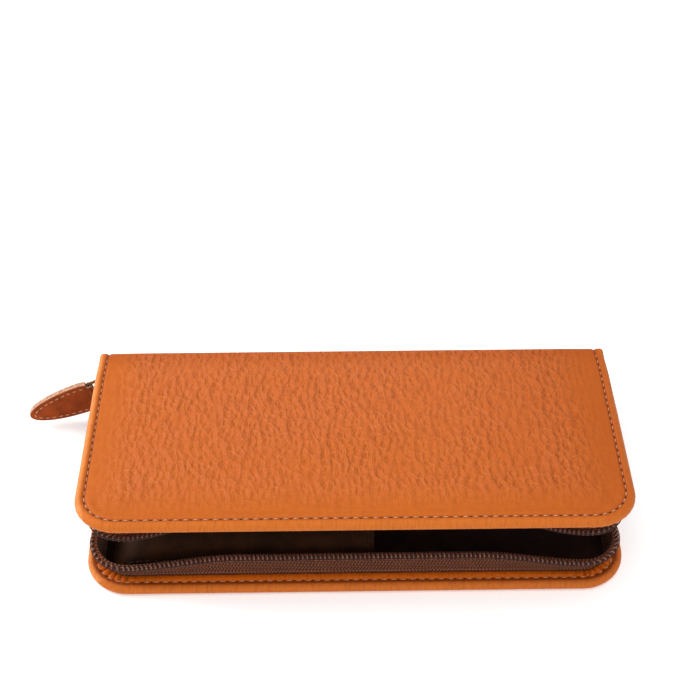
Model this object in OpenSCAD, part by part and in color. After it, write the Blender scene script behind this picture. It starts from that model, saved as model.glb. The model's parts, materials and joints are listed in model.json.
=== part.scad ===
// Zip-round fountain pen case: two stiffened leather covers joined by a leather
// spine, a coil zip round the other three sides, a half-length suede pocket with
// sleeves for pens, and a leather pull on the slider.
//
// The frame: origin at the centre of the base, X along the case's length, Y from
// the front to the spine, Z up. The case lies on its bottom cover, unzipped, with
// the top cover standing a few degrees open.

/* [Case] */
// Length along X
case_w = 185; // [170:1:200]
// Depth, from the front edge to the outside of the spine
case_d = 90; // [80:1:96]
// Height when closed
case_h = 27.5; // [27:0.5:29]
// Radius of the two front corners
corner_r = 15; // [12:1:20]
// Angle at which the top cover stands open, in degrees
open_angle = 6.7; // [6:0.1:12]

/* [Covers] */
// Thickness of the outer leather
leather_t = 1.4; // [1.2:0.1:1.6]
// Thickness of the stiffening board
board_t = 1.2; // [1:0.1:1.4]
// Thickness of the lining
lining_t = 0.7; // [0.5:0.1:0.8]
// Thickness of the skived, turned-in edge
turned_t = 0.8; // [0.8:0.1:1]
// Width of the turned-in edge
turned_w = 6; // [5.5:0.5:7]
// Distance from the edge to the stitching
stitch_inset = 3.2; // [3:0.1:3.6]
// Radius of the bend between cover and spine
fold_r = 3; // [2.8:0.1:3.2]

/* [Zip] */
// Thickness of the woven tape
tape_t = 0.6; // [0.5:0.1:0.7]
// Height of one half of the coil
coil_h = 3; // [2.8:0.1:3.2]
// Depth of the coil on the tape
coil_t = 2.2; // [2:0.1:2.4]
// Length of the slider
slider_l = 11; // [10:0.5:12]
// Where the slider rests, as a place along Y
slider_y = 34.1; // [31:0.1:34.1]

/* [Pen pocket] */
// Number of sleeves
sleeve_count = 3; // [2:1:3]
// Distance between neighbouring sleeves
sleeve_pitch = 25; // [24:0.5:25.5]
// Height of a sleeve
sleeve_h = 9.5; // [8:0.5:10]
// Thickness of the suede
suede_t = 0.9; // [0.8:0.1:1]
// Where the pocket's mouth is, as a place along X
mouth_x = 6.5; // [0:0.5:20]

/* [Pull] */
// Length from the bridge to the tip
pull_l = 29.4; // [28:0.1:40]
// Widest part of the leather tab
pull_w = 14.5; // [12:0.5:15]
// Thickness of each of the two leather layers
pull_t = 1.1; // [1:0.1:1.2]
// How far the tab droops, in degrees
droop = 17; // [10:1:20]

/* [Hidden] */
$fn = 64;
eps = 0.01;

half_w = case_w / 2;
front_y = -case_d / 2;
back_y = case_d / 2;
mid_z = case_h / 2;

// The rim is leather, board, zip tape and the turned-in edge, one on another.
rim_h = leather_t + board_t + tape_t + turned_t;
board_z = leather_t + board_t;
tape_z = board_z + tape_t;
fit_gap = 0.1;

// Cover and spine bend about these two axes, which run along X.
fold_y = back_y - fold_r;
low_fold_z = fold_r;
high_fold_z = case_h - fold_r;

// Stitching lies in a shallow groove.
thread_w = 0.5;
thread_t = 0.35;
groove_w = 0.8;
groove_d = 0.4;

// The zip tape is a wall just inside the turned-in edge, with a foot under it.
tape_in = turned_w + tape_t;
tape_foot = 2;
meet_gap = 0.15;
coil_top = mid_z - meet_gap;
coil_low = coil_top - coil_h;
tape_top = coil_top - 1;
tape_end_y = fold_y - 0.6;
coil_inset = turned_w - coil_t;

// Ends of the coil, as places along Y.
stop_l = 1.6;
end_stop_l = 3;
coil_end_right = tape_end_y - 5;
coil_end_left = tape_end_y - 0.1;
loose_end_left = slider_y - slider_l / 2 - 1.2;

// The slider stands on the left side, where outwards is -X.
plate_t = 1.2;
slider_half_h = 4.3;
flange_t = 0.85;
channel_out = half_w - coil_inset + 0.3;
channel_in = half_w - tape_in - 0.3;
slot_out = half_w - turned_w + 0.35;
post_l = 3.5;
post_half_h = 1.1;
post_gap = 0.35;

// The bridge is a half ring round the bail's near bar, at the slider's tail.
bridge_r = 1.9;
eye_r = 1.15;
bridge_w = 2.4;
bridge_stand = 2.1;
pivot_x = channel_out + plate_t + bridge_stand;
pivot_y = slider_y + 3.4;

// The bail is a wire link with a short near bar, two shoulders and a wide far bar.
wire_r = 0.6;
corner_ball = wire_r + 0.08;
bail_l = 3.75;
bail_near = 2.2;
shoulder_l = 1;
bail_far = 5.9;
turned_forward = 9;

// The tab turns on the bail's far bar.
knuckle_r = 1.4;
knuckle_bore = wire_r + 0.08;
knuckle_w = 10.4;
root_w = 13.4;
root = bail_l + knuckle_bore + 0.2;
widest_at = 7.5;
stitch_in_tab = 1.5;

// The pocket fills the floor between the front tape and the spine.
pocket_y = (front_y + tape_in + fold_y) / 2;
pocket_left = -half_w + 9.5;
seam_w = 2;
sleeve_top_w = 16;
end_wall = 1;

tan_leather = [0.80, 0.40, 0.18];
dark_leather = [0.50, 0.22, 0.09];
brown_suede = [0.25, 0.16, 0.10];
brown_lining = [0.20, 0.10, 0.07];
brown_tape = [0.28, 0.14, 0.10];
brown_coil = [0.35, 0.20, 0.16];
grey_board = [0.55, 0.50, 0.44];
thread_tan = [0.78, 0.58, 0.40];
metal = [0.60, 0.48, 0.30];

// A cover's outline, moved in by inset on its front and its two ends, up to the
// line y = back.
module outline(inset, back) {
    r = corner_r - inset;
    w = case_w - 2 * inset;
    front = front_y + inset;
    translate([-w / 2 + r, front]) square([w - 2 * r, back - front]);
    translate([-w / 2, front + r]) square([w, back - front - r]);
    for (side = [-1, 1])
        translate([side * (w / 2 - r), front + r]) circle(r);
}

// The band between two insets, round the front and the two ends.
module band(outer, inner, back) {
    difference() {
        outline(outer, back);
        outline(inner, back + 1);
    }
}

// A band that ends at one place on the left and at another on the right.
module band_to(outer, inner, left, right) {
    intersection() {
        band(outer, inner, back_y);
        union() {
            translate([-case_w, -case_d]) square([case_w, case_d + left]);
            translate([0, -case_d]) square([case_w, case_d + right]);
        }
    }
}

module slab(z0, z1) {
    translate([0, 0, z0]) linear_extrude(z1 - z0) children();
}

// Everything on the top cover is the mirror image of the bottom cover's, closed
// down on it, and then raised about the upper fold.
module on_top_cover() {
    translate([0, fold_y, high_fold_z])
        rotate([-open_angle, 0, 0])
            translate([0, -fold_y, case_h - high_fold_z])
                mirror([0, 0, 1]) children();
}

// Outer leather with its edge turned in on three sides, and the stitch grooves.
module cover_leather() {
    stitch = stitch_inset - groove_w / 2;
    difference() {
        slab(0, rim_h) outline(0, fold_y);
        slab(leather_t, rim_h - turned_t) outline(leather_t, fold_y + 1);
        slab(rim_h - turned_t - eps, rim_h + 1) outline(turned_w, fold_y + 1);
        slab(-1, groove_d) band(stitch, stitch + groove_w, fold_y + 1);
        slab(rim_h - groove_d, rim_h + 1) band(stitch, stitch + groove_w, fold_y + 1);
    }
}

module cover_board() {
    slab(leather_t, board_z) outline(leather_t + fit_gap, fold_y - 2);
}

module cover_lining() {
    slab(board_z, board_z + lining_t) outline(tape_in + fit_gap, fold_y - 0.5);
}

// One line of thread outside and one inside.
module cover_thread() {
    inset = stitch_inset - thread_w / 2;
    end = fold_y - 0.5;
    slab(groove_d - thread_t, groove_d) band(inset, inset + thread_w, end);
    slab(rim_h - groove_d, rim_h - groove_d + thread_t) band(inset, inset + thread_w, end);
}

module cover_tape() {
    slab(board_z, tape_z) band(turned_w - tape_foot, tape_in, tape_end_y);
    slab(tape_z - eps, tape_top) band(turned_w, tape_in, tape_end_y);
}

module coil(left, right) {
    slab(coil_low, coil_top) band_to(coil_inset, turned_w, left, right);
}

// The quarter of the leather that bends between a cover and the spine.
module fold(z, from, to) {
    translate([-half_w, fold_y, z])
        rotate([90, 0, 90])
            linear_extrude(case_w)
                intersection() {
                    difference() {
                        circle(fold_r);
                        circle(fold_r - leather_t);
                    }
                    polygon([
                        [0, 0],
                        2 * fold_r * [cos(from), sin(from)],
                        2 * fold_r * [cos((from + to) / 2), sin((from + to) / 2)] * 1.3,
                        2 * fold_r * [cos(to), sin(to)]
                    ]);
                }
}

// A small clip crimped over the end of a coil.
module end_clip(outer, inner, z0, z1, y0, length, side) {
    x0 = side * (half_w - outer);
    x1 = side * (half_w - inner);
    translate([min(x0, x1), y0, z0]) cube([abs(x1 - x0), length, z1 - z0]);
}

module bottom_leather() {
    color(tan_leather) cover_leather();
}

module bottom_board() {
    color(grey_board) cover_board();
}

module bottom_lining() {
    color(brown_lining) cover_lining();
}

module bottom_thread() {
    color(thread_tan) cover_thread();
}

module lower_fold() {
    color(tan_leather) fold(low_fold_z, -90, 0);
}

module lower_tape() {
    color(brown_tape) cover_tape();
}

// The coil parts round the slider's post, so it is cut away there.
module lower_chain() {
    color(brown_coil) difference() {
        coil(coil_end_left, coil_end_right);
        translate([-half_w, slider_y - slider_l / 2 - post_gap, mid_z - post_half_h - post_gap])
            cube([turned_w + tape_t, post_l + 2 * post_gap, coil_h]);
    }
}

// The end of the upper coil that stays joined to the lower one in the slider.
module upper_chain_tail() {
    color(brown_coil)
        end_clip(
            coil_inset, turned_w,
            coil_top, coil_top + coil_h + 2 * meet_gap,
            slider_y - slider_l / 2 + post_l + post_gap,
            coil_end_left - (slider_y - slider_l / 2 + post_l + post_gap),
            -1
        );
}

// The clip that holds the two coils together at the open end of the zip.
module zip_bottom_stop() {
    wall = 0.45;
    outer = coil_inset - wall;
    y0 = coil_end_left - stop_l;
    color(metal) difference() {
        end_clip(outer, turned_w - 0.2, coil_low - wall, case_h - coil_low + wall, y0, stop_l, -1);
        end_clip(coil_inset, turned_w + 1, coil_low, case_h - coil_low, y0 - 1, stop_l + 2, -1);
    }
}

module lower_end_stop() {
    color(metal)
        end_clip(coil_inset - 0.3, turned_w, coil_low, coil_top, coil_end_right, end_stop_l, 1);
}

// One sleeve's section across the case, from the lining up.
module sleeve_section(inner) {
    base = (sleeve_pitch - seam_w) / 2;
    top = sleeve_top_w / 2;
    slant = base - top;
    shift = inner ? suede_t * norm([slant, sleeve_h]) / sleeve_h : 0;
    h = inner ? sleeve_h - suede_t : sleeve_h;
    polygon([
        [-base + shift, inner ? -1 : 0],
        [-base + shift + slant * h / sleeve_h, h],
        [base - shift - slant * h / sleeve_h, h],
        [base - shift, inner ? -1 : 0]
    ]);
}

module sleeves(inner) {
    for (i = [0 : sleeve_count - 1])
        translate([(i - (sleeve_count - 1) / 2) * sleeve_pitch, 0]) sleeve_section(inner);
}

// Draws a section in the YZ plane and pulls it along X.
module along_x(x0, x1) {
    translate([x0, pocket_y, board_z + lining_t])
        rotate([90, 0, 90])
            linear_extrude(x1 - x0) children();
}

module pen_pocket() {
    total_w = sleeve_count * sleeve_pitch;
    color(brown_suede) {
        along_x(pocket_left, mouth_x) difference() {
            union() {
                translate([-total_w / 2, 0]) square([total_w, suede_t]);
                sleeves(false);
            }
            sleeves(true);
        }
        along_x(pocket_left, pocket_left + end_wall) sleeves(false);
    }
}

module pocket_thread() {
    h = 0.25;
    color(thread_tan)
        for (i = [0 : sleeve_count])
            translate([0, (i - sleeve_count / 2) * sleeve_pitch * (1 - 0.02), 0])
                along_x(pocket_left + 1, mouth_x - 1)
                    translate([-thread_w / 2, suede_t]) square([thread_w, h]);
}

module spine_leather() {
    color(tan_leather)
        translate([-half_w, back_y - leather_t, low_fold_z])
            cube([case_w, leather_t, high_fold_z - low_fold_z]);
}

module spine_lining() {
    margin = 1.5;
    color(brown_lining)
        translate([-half_w + margin, back_y - leather_t - lining_t, low_fold_z])
            cube([case_w - 2 * margin, lining_t, high_fold_z - low_fold_z]);
}

module upper_fold() {
    color(tan_leather) fold(high_fold_z, 0, 90 - open_angle);
}

module top_leather() {
    color(tan_leather) on_top_cover() cover_leather();
}

module top_board() {
    color(grey_board) on_top_cover() cover_board();
}

module top_lining() {
    color(brown_lining) on_top_cover() cover_lining();
}

module top_thread() {
    color(thread_tan) on_top_cover() cover_thread();
}

module upper_tape() {
    color(brown_tape) on_top_cover() cover_tape();
}

module upper_chain() {
    color(brown_coil) on_top_cover() coil(loose_end_left, coil_end_right);
}

module upper_end_stop() {
    color(metal) on_top_cover()
        end_clip(coil_inset - 0.3, turned_w, coil_low, coil_top, coil_end_right, end_stop_l, 1);
}

// A box on the slider: out0 and out1 are distances from the case's middle.
module slider_box(out0, out1, y0, y1, z0, z1) {
    translate([-out1, slider_y + y0, mid_z + z0]) cube([out1 - out0, y1 - y0, z1 - z0]);
}

// Two plates joined by a post at the mouth, flanges that hold the coils, and the
// bridge that the bail hangs on.
module slider_body() {
    l = slider_l / 2;
    h = slider_half_h;
    taper = 1.2;
    color(metal) {
        difference() {
            union() {
                slider_box(channel_out, channel_out + plate_t, -l, l, -h, h);
                for (side = [-1, 1])
                    slider_box(
                        slot_out, channel_out + eps, -l, l,
                        side < 0 ? -h : h - flange_t, side < 0 ? -h + flange_t : h
                    );
                slider_box(channel_in - plate_t, channel_in, -l, l, -h, h);
                slider_box(channel_in - eps, channel_out + eps, -l, -l + post_l, -post_half_h, post_half_h);
            }
            // The tail is narrower than the mouth.
            for (side = [-1, 1])
                translate([-channel_out - 5, slider_y + l, mid_z + side * (h + 0.6)])
                    rotate([side * 15, 0, 0])
                        translate([0, -4, -taper / 2]) cube([15, 8, taper]);
        }
        translate([-pivot_x, pivot_y, mid_z - bridge_w / 2])
            difference() {
                union() {
                    cylinder(r = bridge_r, h = bridge_w);
                    translate([0, -bridge_r, 0]) cube([bridge_stand + eps, 2 * bridge_r, bridge_w]);
                }
                translate([0, 0, -1]) cylinder(r = eye_r, h = bridge_w + 2);
            }
    }
}

// The pull's own frame: x runs from the bail's near bar towards the tip, and z
// lies along the bars.
module on_pull() {
    translate([-pivot_x, pivot_y, mid_z])
        rotate([0, -droop, turned_forward])
            mirror([1, 0, 0]) children();
}

module rod(a, b) {
    d = b - a;
    translate(a)
        rotate([0, acos(d[2] / norm(d)), atan2(d[1], d[0])])
            cylinder(r = wire_r, h = norm(d));
}

module pull_bail() {
    corners = [
        [0, 0, -bail_near], [0, 0, bail_near],
        [shoulder_l, 0, bail_far], [bail_l, 0, bail_far],
        [bail_l, 0, -bail_far], [shoulder_l, 0, -bail_far]
    ];
    color(metal) on_pull()
        for (i = [0 : 5]) {
            rod(corners[i], corners[(i + 1) % 6]);
            translate(corners[i]) sphere(corner_ball);
        }
}

// Half the tab's width at a distance r from the near bar.
function tab_half(r) =
    r < widest_at
        ? root_w / 2 + (pull_w - root_w) / 2 * sin(90 * (r - root) / (widest_at - root))
        : pull_w / 2 * sqrt(max(0, 1 - pow((r - widest_at) / (pull_l - widest_at), 2)));

// Distance along the tab of the point numbered i, from -steps at one side of the
// root, through 0 at the tip, to steps at the root's other side.
function tab_r(i, steps) = root + (pull_l - root) * (1 - pow(abs(i) / steps, 2));
function edge_point(i, steps) =
    let (r = tab_r(i, steps)) [r, sign(i) * tab_half(r)];

// The tab's edge moved in by inset, from the root round the tip to the root.
function tab_edge(inset, steps = 16) = [
    for (i = [-steps : steps])
        let (
            ahead = edge_point(min(i + 1, steps), steps),
            behind = edge_point(max(i - 1, -steps), steps),
            along = (ahead - behind) / norm(ahead - behind)
        )
        edge_point(i, steps) + inset * [-along[1], along[0]]
];

function backwards(list) = [for (i = [len(list) - 1 : -1 : 0]) list[i]];

// Lays a shape drawn in the tab's plane between two distances from that plane.
module tab_slab(y0, y1) {
    translate([0, y1, 0]) rotate([90, 0, 0]) linear_extrude(y1 - y0) children();
}

// One leather layer, with its half of the knuckle round the bail's far bar.
module tab_layer(side) {
    y0 = side < 0 ? -pull_t : 0;
    tab_slab(y0, y0 + pull_t) polygon(tab_edge(0));
    translate([bail_l, 0, -knuckle_w / 2])
        linear_extrude(knuckle_w)
            intersection() {
                difference() {
                    circle(knuckle_r);
                    circle(knuckle_bore);
                }
                translate([-2 * knuckle_r, side < 0 ? -2 * knuckle_r : 0])
                    square([4 * knuckle_r, 2 * knuckle_r]);
            }
}

module pull_front() {
    color(dark_leather) on_pull() tab_layer(-1);
}

module pull_back() {
    color(dark_leather) on_pull() tab_layer(1);
}

module pull_thread() {
    h = 0.2;
    color(thread_tan) on_pull()
        for (y0 = [-pull_t - h, pull_t])
            tab_slab(y0, y0 + h)
                polygon(concat(
                    tab_edge(stitch_in_tab),
                    backwards(tab_edge(stitch_in_tab + thread_w))
                ));
}

bottom_leather();
bottom_board();
bottom_lining();
bottom_thread();
lower_fold();
lower_tape();
lower_chain();
upper_chain_tail();
zip_bottom_stop();
lower_end_stop();
pen_pocket();
pocket_thread();
spine_leather();
spine_lining();
upper_fold();
top_leather();
top_board();
top_lining();
top_thread();
upper_tape();
upper_chain();
upper_end_stop();
slider_body();
pull_bail();
pull_front();
pull_back();
pull_thread();
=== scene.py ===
"""A zip-round pen case in pebbled leather, lying on its bottom cover and a little open.

Lengths here are in millimetres, and are turned into metres when a piece is made. The
leather and the linings are built in sheet coordinates: x runs along the case, c is the
distance forward from where the fold ends (so it is negative on the fold and the spine),
and h is the depth below the leather's outer face. Half.place() bends a sheet point into
the case. Each half of the case is one such sheet, and they meet halfway up the spine.
"""

import json
import math

import bmesh
import bpy
from mathutils import Matrix, Vector, noise


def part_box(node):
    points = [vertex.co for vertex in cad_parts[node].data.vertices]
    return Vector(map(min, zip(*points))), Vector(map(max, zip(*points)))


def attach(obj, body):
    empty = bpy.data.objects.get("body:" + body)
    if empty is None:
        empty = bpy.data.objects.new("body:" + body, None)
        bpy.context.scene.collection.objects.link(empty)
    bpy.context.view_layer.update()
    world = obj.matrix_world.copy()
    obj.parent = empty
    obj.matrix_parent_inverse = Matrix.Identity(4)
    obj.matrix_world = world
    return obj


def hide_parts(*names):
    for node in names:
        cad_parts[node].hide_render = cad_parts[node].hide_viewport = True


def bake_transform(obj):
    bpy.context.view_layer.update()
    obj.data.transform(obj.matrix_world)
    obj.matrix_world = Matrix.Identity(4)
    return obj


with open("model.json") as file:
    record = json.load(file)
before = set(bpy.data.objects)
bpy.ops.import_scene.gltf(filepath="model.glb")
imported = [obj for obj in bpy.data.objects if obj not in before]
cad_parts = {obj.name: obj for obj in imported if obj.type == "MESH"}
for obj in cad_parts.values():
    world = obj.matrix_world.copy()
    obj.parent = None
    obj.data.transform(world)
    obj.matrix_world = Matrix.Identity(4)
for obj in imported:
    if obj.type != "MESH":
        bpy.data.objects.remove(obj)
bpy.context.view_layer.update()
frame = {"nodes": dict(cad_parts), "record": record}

MM = 0.001


def box_mm(node):
    low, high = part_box(node)
    return Vector(low) / MM, Vector(high) / MM


def joint(name):
    return next(j for j in frame["record"]["behaviour"]["joints"] if j["name"] == name)


# ---------------------------------------------------------------- sizes from the frame

LEATHER_LOW, LEATHER_HIGH = box_mm("bottom_leather")
LOW_AXIS = Vector(joint("spine_fold")["pos_m"]) / MM
HIGH_AXIS = Vector(joint("cover_fold")["pos_m"]) / MM
OPEN_ANGLE = math.radians(-joint("cover_fold")["range_deg"][0])

HALF_W = LEATHER_HIGH.x
FRONT_Y = LEATHER_LOW.y
RIM_H = LEATHER_HIGH.z
FOLD_Y = LOW_AXIS.y
FOLD_R = LOW_AXIS.z
MID_Z = (LOW_AXIS.z + HIGH_AXIS.z) / 2
COVER_L = FOLD_Y - FRONT_Y
FOLD_ARC = FOLD_R * math.pi / 2
SPINE_HALF = MID_Z - FOLD_R
CORNER_R = 15.0

TAPE_INSET = 6.0
TAPE_T = 0.6
TAPE_BASE = 3.2
TAPE_FOOT = 2.2
TAPE_END_C = 0.6
FOOT_H = 2.9
COIL_LOW, COIL_HIGH = box_mm("lower_chain")
SLIDER_LOW, _ = box_mm("slider_body")
POCKET_LOW, POCKET_HIGH = box_mm("pen_pocket")
STITCH_INSET = 3.2
STITCH_PITCH = 3.25
COIL_PITCH = 1.5
LINING_H = 3.35
SPINE_T = 2.1
SLEEVES = 3


def clamp(t, low=0.0, high=1.0):
    return max(low, min(high, t))


def smooth(edge0, edge1, t):
    t = clamp((t - edge0) / (edge1 - edge0))
    return t * t * (3 - 2 * t)


def mix(a, b, t):
    return a + (b - a) * t


# ---------------------------------------------------------------- the sheet, bent


class Half:
    """One half of the case. sign is -1 for the bottom and 1 for the top. swell is the
    share by which its cover is longer than the other."""

    def __init__(self, sign, bend=math.pi / 2, swell=0.0):
        self.sign = sign
        self.swell = swell
        self.axis_z = LOW_AXIS.z if sign < 0 else HIGH_AXIS.z
        self.bend = bend

    def place(self, x, c, h):
        turn = self.bend * clamp(1 + c / FOLD_ARC)
        ahead = c if c > 0 else min(c + FOLD_ARC, 0)
        out_y, out_z = math.cos(turn), self.sign * math.sin(turn)
        run_y, run_z = -math.sin(turn), self.sign * math.cos(turn)
        r = FOLD_R - h
        return Vector(
            (
                x * (1 + self.swell * smooth(-6.0, 14.0, c)),
                FOLD_Y + r * out_y + ahead * run_y,
                self.axis_z + r * out_z + ahead * run_z,
            )
        )


BOTTOM = Half(-1)
TOP = Half(1, math.pi / 2 - OPEN_ANGLE, 0.007)
TOP_CLOSED = Half(1)


def rim_length(inset, c0):
    side = COVER_L - CORNER_R - c0
    return 2 * side + (CORNER_R - inset) * math.pi + 2 * (HALF_W - CORNER_R)


def rim(s, inset, c0):
    """The point at distance s along the outline moved in by inset, which starts at c0 on
    the left and ends at c0 on the right, and the inward direction there."""
    total = rim_length(inset, c0)
    t = total - s if s > total / 2 else s
    side = COVER_L - CORNER_R - c0
    r = CORNER_R - inset
    arc = r * math.pi / 2
    if t < side:
        x, c, nx, nc = -HALF_W + inset, c0 + t, 1.0, 0.0
    elif t < side + arc:
        angle = math.pi - (t - side) / r
        nx, nc = -math.cos(angle), -math.sin(angle)
        x = -HALF_W + CORNER_R - r * nx
        c = COVER_L - CORNER_R - r * nc
    else:
        x, c, nx, nc = -HALF_W + CORNER_R + t - side - arc, COVER_L - inset, 0.0, -1.0
    return (-x, c, -nx, nc) if s > total / 2 else (x, c, nx, nc)


def edge_distance(x, c):
    """Distance in from the outline's front and sides."""
    past_x = abs(x) - (HALF_W - CORNER_R)
    past_c = c - (COVER_L - CORNER_R)
    if past_x > 0 and past_c > 0:
        return CORNER_R - math.hypot(past_x, past_c)
    return min(HALF_W - abs(x), COVER_L - c)


def side_stations():
    """Places down the left side and round its corner, closer together where it bends."""
    start = -(SPINE_HALF + FOLD_ARC)
    found = [(-HALF_W, start + SPINE_HALF * i / 5, 1.0, 0.0) for i in range(5)]
    found += [(-HALF_W, -FOLD_ARC + FOLD_ARC * i / 10, 1.0, 0.0) for i in range(10)]
    straight = COVER_L - CORNER_R
    side_steps, corner_steps = 36, 40
    found += [(-HALF_W, straight * i / side_steps, 1.0, 0.0) for i in range(side_steps)]
    for i in range(corner_steps + 1):
        angle = math.pi - math.pi / 2 * i / corner_steps
        nx, nc = -math.cos(angle), -math.sin(angle)
        found.append((-HALF_W + CORNER_R * (1 - nx), straight - CORNER_R * nc, nx, nc))
    return found


def front_stations():
    reach = HALF_W - CORNER_R
    steps = 140
    return [
        (-reach + 2 * reach * i / steps, COVER_L, 0.0, -1.0) for i in range(1, steps)
    ]


# ---------------------------------------------------------------- making pieces


def piece(name, verts, faces, material, sheet=None, flat=False):
    """A mesh from points in millimetres. sheet holds a texture coordinate a vertex."""
    mesh = bpy.data.meshes.new(name)
    mesh.from_pydata([Vector(v) * MM for v in verts], [], faces)
    mesh.validate()
    obj = bpy.data.objects.new(name, mesh)
    bpy.context.scene.collection.objects.link(obj)
    if sheet is not None:
        attribute = mesh.attributes.new("sheet", "FLOAT_VECTOR", "POINT")
        attribute.data.foreach_set("vector", [k for v in sheet for k in v])
    if not flat:
        mesh.shade_smooth()
    mesh.materials.append(material)
    return obj


class Tubes:
    """Collects many tubes in one mesh."""

    def __init__(self):
        self.verts, self.faces, self.sheet = [], [], []

    def add(self, points, radii, flat_dir, sides=6, squash=1.0):
        """A tube along points, with a radius at each and a cap at both ends. flat_dir is
        the direction along which its section is squashed."""
        count = len(points)
        first = len(self.verts)
        up = Vector(flat_dir)
        length = 0.0
        for i, p in enumerate(points):
            ahead, behind = points[min(i + 1, count - 1)], points[max(i - 1, 0)]
            along = (ahead - behind).normalized()
            side = along.cross(up).normalized()
            lift = side.cross(along)
            if i:
                length += (p - points[i - 1]).length
            for k in range(sides):
                a = 2 * math.pi * k / sides
                offset = side * math.cos(a) + lift * (math.sin(a) * squash)
                self.verts.append(p + offset * radii[i])
                self.sheet.append((length, k / sides, 0.0))
        for i in range(count - 1):
            a = first + i * sides
            b = a + sides
            for k in range(sides):
                n = (k + 1) % sides
                self.faces.append((a + k, a + n, b + n, b + k))
        last = first + (count - 1) * sides
        self.faces.append(tuple(first + k for k in reversed(range(sides))))
        self.faces.append(tuple(last + k for k in range(sides)))

    def make(self, name, material):
        return piece(name, self.verts, self.faces, material, self.sheet)


def solidify(obj, thickness, offset):
    """Gives a sheet its thickness, in millimetres, and applies it."""
    modifier = obj.modifiers.new("thickness", "SOLIDIFY")
    modifier.thickness = thickness * MM
    modifier.offset = offset
    apply_modifiers(obj)


def face_outwards(obj):
    """Turns every face of a closed mesh to look out."""
    work = bmesh.new()
    work.from_mesh(obj.data)
    bmesh.ops.recalc_face_normals(work, faces=work.faces)
    work.to_mesh(obj.data)
    work.free()
    return obj


def apply_modifiers(obj):
    depsgraph = bpy.context.evaluated_depsgraph_get()
    mesh = bpy.data.meshes.new_from_object(obj.evaluated_get(depsgraph))
    obj.modifiers.clear()
    obj.data = mesh


# ---------------------------------------------------------------- materials


class Shader:
    """Builds one material. Each method adds a node and returns its output."""

    def __init__(self, name):
        self.material = bpy.data.materials.new(name)
        self.material.use_nodes = True
        self.tree = self.material.node_tree
        self.tree.nodes.clear()
        self.out = self.tree.nodes.new("ShaderNodeOutputMaterial")
        self.bsdf = self.tree.nodes.new("ShaderNodeBsdfPrincipled")
        self.tree.links.new(self.bsdf.outputs[0], self.out.inputs["Surface"])

    def node(self, kind, inputs=None, **settings):
        made = self.tree.nodes.new(kind)
        for key, value in settings.items():
            setattr(made, key, value)
        for key, value in (inputs or {}).items():
            self.put(made.inputs[key], value)
        return made

    def put(self, socket, value):
        if isinstance(value, bpy.types.NodeSocket):
            self.tree.links.new(value, socket)
        elif isinstance(value, tuple) and len(value) == 3 and socket.type == "RGBA":
            socket.default_value = (*value, 1.0)
        else:
            socket.default_value = value

    def math(self, operation, a, b=0.0):
        return self.node("ShaderNodeMath", {0: a, 1: b}, operation=operation).outputs[0]

    def sheet_mm(self):
        """The sheet coordinates, in millimetres, and their three parts."""
        read = self.node("ShaderNodeAttribute", attribute_name="sheet")
        parts = self.node("ShaderNodeSeparateXYZ", {0: read.outputs["Vector"]})
        return read.outputs["Vector"], parts.outputs

    def object_mm(self):
        where = self.node("ShaderNodeTexCoord").outputs["Object"]
        return self.scaled(where, (1 / MM, 1 / MM, 1 / MM))

    def scaled(self, vector, scale):
        made = self.node("ShaderNodeVectorMath", {0: vector, 1: scale}, operation="MULTIPLY")
        return made.outputs[0]

    def warped(self, vector, noise_scale, amount):
        """vector pushed about by noise."""
        swirl = self.node(
            "ShaderNodeTexNoise",
            {"Vector": vector, "Scale": noise_scale, "Detail": 2.0},
        ).outputs["Color"]
        centred = self.node(
            "ShaderNodeVectorMath", {0: swirl, 1: (0.5, 0.5, 0.5)}, operation="SUBTRACT"
        ).outputs[0]
        push = self.scaled(centred, (amount, amount, amount))
        return self.node(
            "ShaderNodeVectorMath", {0: vector, 1: push}, operation="ADD"
        ).outputs[0]

    def noise(self, vector, scale, detail=3.0, roughness=0.5):
        return self.node(
            "ShaderNodeTexNoise",
            {"Vector": vector, "Scale": scale, "Detail": detail, "Roughness": roughness},
        ).outputs["Fac"]

    def crease(self, vector, scale):
        """0 on the borders between cells, rising to about 0.5 in their middles."""
        return self.node(
            "ShaderNodeTexVoronoi",
            {"Vector": vector, "Scale": scale},
            feature="DISTANCE_TO_EDGE",
            voronoi_dimensions="2D",
        ).outputs["Distance"]

    def cells(self, vector, softness):
        """Rounded cells: 0 in their middles, rising smoothly to about 0.7 between them."""
        return self.node(
            "ShaderNodeTexVoronoi",
            {"Vector": vector, "Scale": 1.0, "Smoothness": softness, "Randomness": 0.85},
            feature="SMOOTH_F1",
            voronoi_dimensions="2D",
        ).outputs["Distance"]

    def ramp(self, value, low, high, out_low=0.0, out_high=1.0):
        return self.node(
            "ShaderNodeMapRange",
            {
                "Value": value,
                "From Min": low,
                "From Max": high,
                "To Min": out_low,
                "To Max": out_high,
            },
            interpolation_type="SMOOTHSTEP",
        ).outputs[0]

    def blend(self, factor, a, b):
        made = self.node("ShaderNodeMix", data_type="RGBA")
        self.put(made.inputs[0], factor)
        self.put(made.inputs[6], a)
        self.put(made.inputs[7], b)
        return made.outputs[2]

    def bump(self, height, distance_mm, strength):
        values = {"Height": height, "Distance": distance_mm * MM, "Strength": strength}
        return self.node("ShaderNodeBump", values).outputs[0]

    def finish(self, **inputs):
        names = {
            "color": "Base Color",
            "roughness": "Roughness",
            "normal": "Normal",
            "metallic": "Metallic",
            "specular": "Specular IOR Level",
            "sheen": "Sheen Weight",
            "sheen_roughness": "Sheen Roughness",
            "glow": "Emission Color",
            "glow_strength": "Emission Strength",
        }
        for key, value in inputs.items():
            self.put(self.bsdf.inputs[names[key]], value)
        return self.material


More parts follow.
